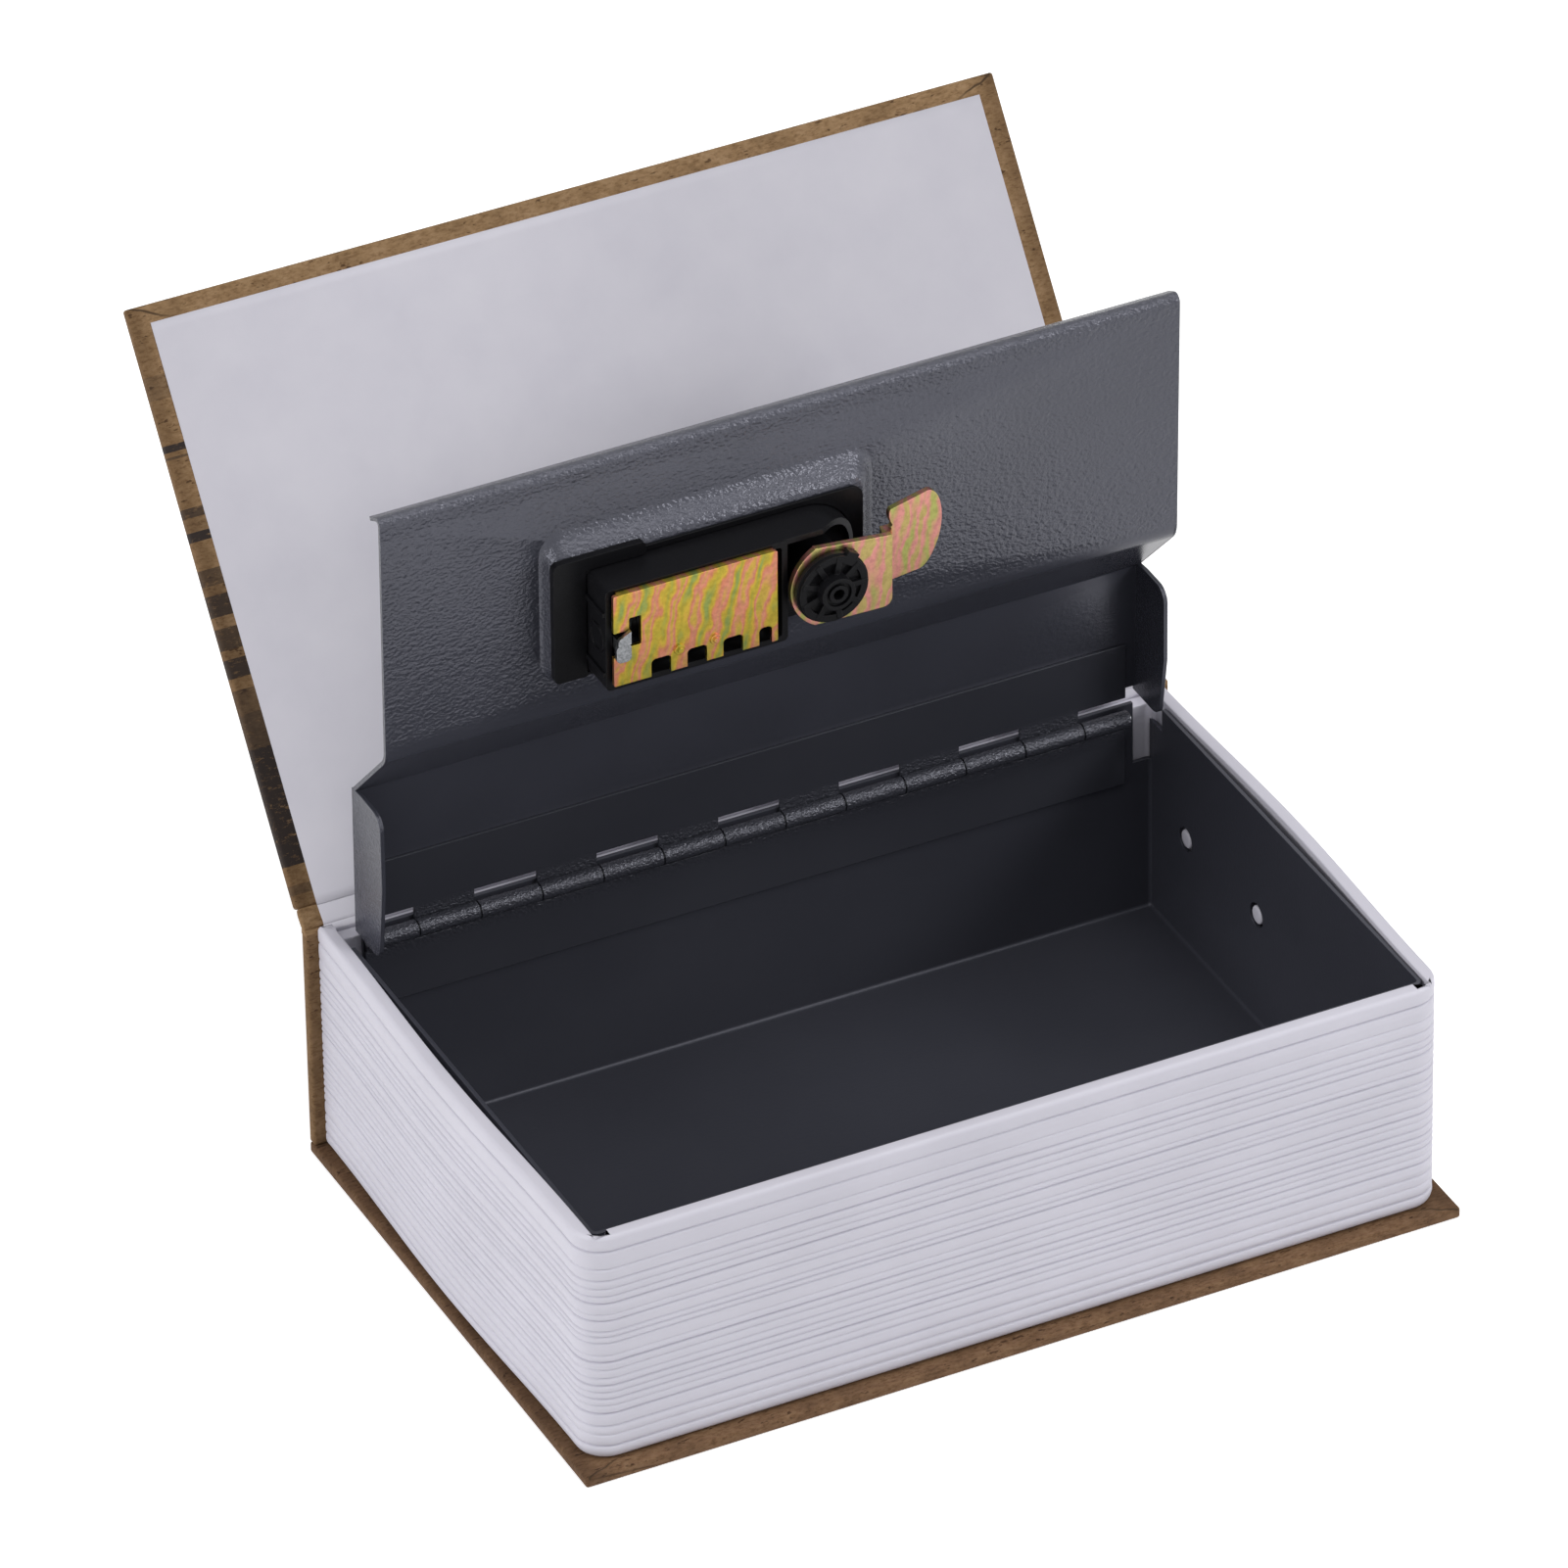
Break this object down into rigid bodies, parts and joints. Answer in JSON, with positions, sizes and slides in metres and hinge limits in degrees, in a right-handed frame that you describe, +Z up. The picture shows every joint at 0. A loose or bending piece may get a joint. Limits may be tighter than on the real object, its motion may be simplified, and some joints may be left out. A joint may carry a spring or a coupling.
{
  "type": "book diversion safe",
  "caption": "Hollow book with a ridged page block round a steel tray, a hinged steel inner lid with a combination cam lock, and a folding front cover.",
  "frame": {"origin": "middle of the back cover's underside, which lies on the table", "axes": "+X along the spine, +Y towards the spine, +Z up"},
  "size_m": [0.18, 0.1894, 0.1511],
  "materials": {
    "kraft_paper": "brown kraft covering paper, matt",
    "grey_board": "grey binder's board",
    "endpaper": "smooth off-white paper",
    "page_plastic": "white moulded plastic, satin",
    "coated_steel": "dark grey powder coat with a slight texture",
    "bare_steel": "bright plated steel",
    "lock_plastic": "black moulded plastic, satin",
    "yellow_chromate": "yellow chromated steel, slightly iridescent"
  },
  "bodies": {
    "case": {"back_board": "grey_board", "back_board_kraft": "kraft_paper", "back_endpaper": "endpaper", "spine_board": "grey_board", "spine_kraft": "kraft_paper", "page_block": "page_plastic", "tray": "coated_steel", "keeper": "coated_steel", "tray_hinge_leaf": "coated_steel", "hinge_pin": "bare_steel"},
    "joint_strip": {"cover_joint_kraft": "kraft_paper", "joint_endpaper": "endpaper"},
    "front_cover": {"front_board": "grey_board", "front_board_kraft": "kraft_paper", "front_endpaper": "endpaper"},
    "inner_lid": {"lid": "coated_steel", "lid_hinge_leaf": "coated_steel", "lock_housing": "lock_plastic", "lock_clip": "lock_plastic", "lock_cover_plate": "yellow_chromate", "locking_bar": "bare_steel", "dial_axle": "bare_steel"},
    "lock_knob": {"knob": "lock_plastic", "cam": "yellow_chromate", "cam_retainer": "lock_plastic"},
    "lever": {"reset_lever": "bare_steel"},
    "number_dial_1": {"dial_1": "lock_plastic", "dial_1_sleeve": "bare_steel"},
    "number_dial_2": {"dial_2": "lock_plastic", "dial_2_sleeve": "bare_steel"},
    "number_dial_3": {"dial_3": "lock_plastic", "dial_3_sleeve": "bare_steel"},
    "number_dial_4": {"dial_4": "lock_plastic", "dial_4_sleeve": "bare_steel"}
  },
  "joints": [
    {"name": "lid_hinge", "type": "hinge", "parent": "case", "child": "inner_lid", "pos_m": [0, 0.05115, 0.04935], "axis": [-1, 0, 0], "range_deg": [-88.7, 0]},
    {"name": "cover_fold", "type": "hinge", "parent": "case", "child": "joint_strip", "pos_m": [0, 0.0586, 0.0511], "axis": [-1, 0, 0], "range_deg": [-88.7, 0]},
    {"name": "cover_swing", "type": "hinge", "parent": "joint_strip", "child": "front_cover", "pos_m": [0, 0.06067, 0.05327], "axis": [-1, 0, 0], "range_deg": [-37.3, 80]},
    {"name": "knob_turn", "type": "hinge", "parent": "inner_lid", "child": "lock_knob", "pos_m": [0.0013, 0.04951, 0.12163], "axis": [0, 0.9997, 0.0227], "range_deg": [-90, 0]},
    {"name": "reset_slide", "type": "slide", "parent": "inner_lid", "child": "lever", "axis": [1, 0, 0], "range_m": [0, 0.0024]},
    {"name": "dial_1_turn", "type": "hinge", "parent": "inner_lid", "child": "number_dial_1", "pos_m": [-0.0326, 0.03004, 0.11999], "axis": [1, 0, 0], "continuous": true},
    {"name": "dial_2_turn", "type": "hinge", "parent": "inner_lid", "child": "number_dial_2", "pos_m": [-0.0253, 0.03004, 0.11999], "axis": [1, 0, 0], "continuous": true},
    {"name": "dial_3_turn", "type": "hinge", "parent": "inner_lid", "child": "number_dial_3", "pos_m": [-0.018, 0.03004, 0.11999], "axis": [1, 0, 0], "continuous": true},
    {"name": "dial_4_turn", "type": "hinge", "parent": "inner_lid", "child": "number_dial_4", "pos_m": [-0.0107, 0.03004, 0.11999], "axis": [1, 0, 0], "continuous": true}
  ],
  "couplings": [
    {"joint": "cover_fold", "follows": "lid_hinge", "ratio": 1}
  ]
}
